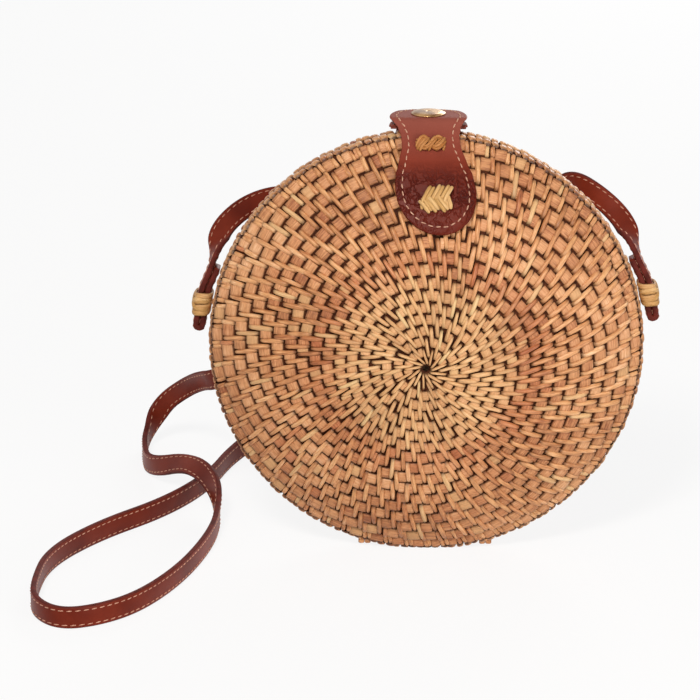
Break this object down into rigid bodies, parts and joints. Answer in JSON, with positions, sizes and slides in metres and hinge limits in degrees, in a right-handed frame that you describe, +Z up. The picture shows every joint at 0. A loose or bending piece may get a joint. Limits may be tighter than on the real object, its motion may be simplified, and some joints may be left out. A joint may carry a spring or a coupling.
{
  "type": "woven shoulder bag",
  "caption": "Round woven rattan shoulder bag with a leather snap tab and a leather strap lying loose beside it.",
  "frame": {"origin": "middle of the foot, where the seam between the halves meets the surface the bag stands on", "axes": "-Y towards the front half, +X to the right seen from the front, +Z up"},
  "size_m": [0.2415, 0.2262, 0.1755],
  "materials": {
    "rattan": "natural woven cane",
    "tab_leather": "crinkled, glossy",
    "strap_leather": "smooth, satin",
    "lining_cloth": "plain cotton weave",
    "snap_metal": "aged, satin"
  },
  "bodies": {
    "back_half": {"back_shell": "rattan", "back_rim": "rattan", "back_lining": "lining_cloth", "back_tab": "tab_leather", "back_tab_backing": "tab_leather", "back_tab_knot_upper": "rattan", "back_tab_knot_lower": "rattan", "snap_stud": "snap_metal", "snap_rivet": "snap_metal", "strap_ring_left": "rattan", "strap_ring_right": "rattan", "strap_end_left": "strap_leather", "strap_end_right": "strap_leather", "strap_left": "strap_leather", "strap_floor_loop": "strap_leather", "strap_right": "strap_leather", "hinge_lashing_left": "rattan", "hinge_lashing_right": "rattan"},
    "front_half": {"front_shell": "rattan", "front_rim": "rattan", "front_lining": "lining_cloth", "front_tab": "tab_leather", "front_tab_backing": "tab_leather", "tab_knot_upper": "rattan", "tab_knot_lower": "rattan"},
    "closure_flap": {"tab_flap": "tab_leather", "tab_flap_backing": "tab_leather", "snap_cap": "snap_metal", "snap_socket": "snap_metal"}
  },
  "joints": [
    {"name": "front_open", "type": "hinge", "parent": "back_half", "child": "front_half", "pos_m": [0, 0, 0], "axis": [1, 0, 0], "range_deg": [0, 60], "deforming": ["hinge_lashing_left", "hinge_lashing_right"]},
    {"name": "flap_lift", "type": "hinge", "parent": "front_half", "child": "closure_flap", "pos_m": [0, -0.00641, 0.1692], "axis": [1, 0, 0], "range_deg": [-3.3, 75]}
  ]
}
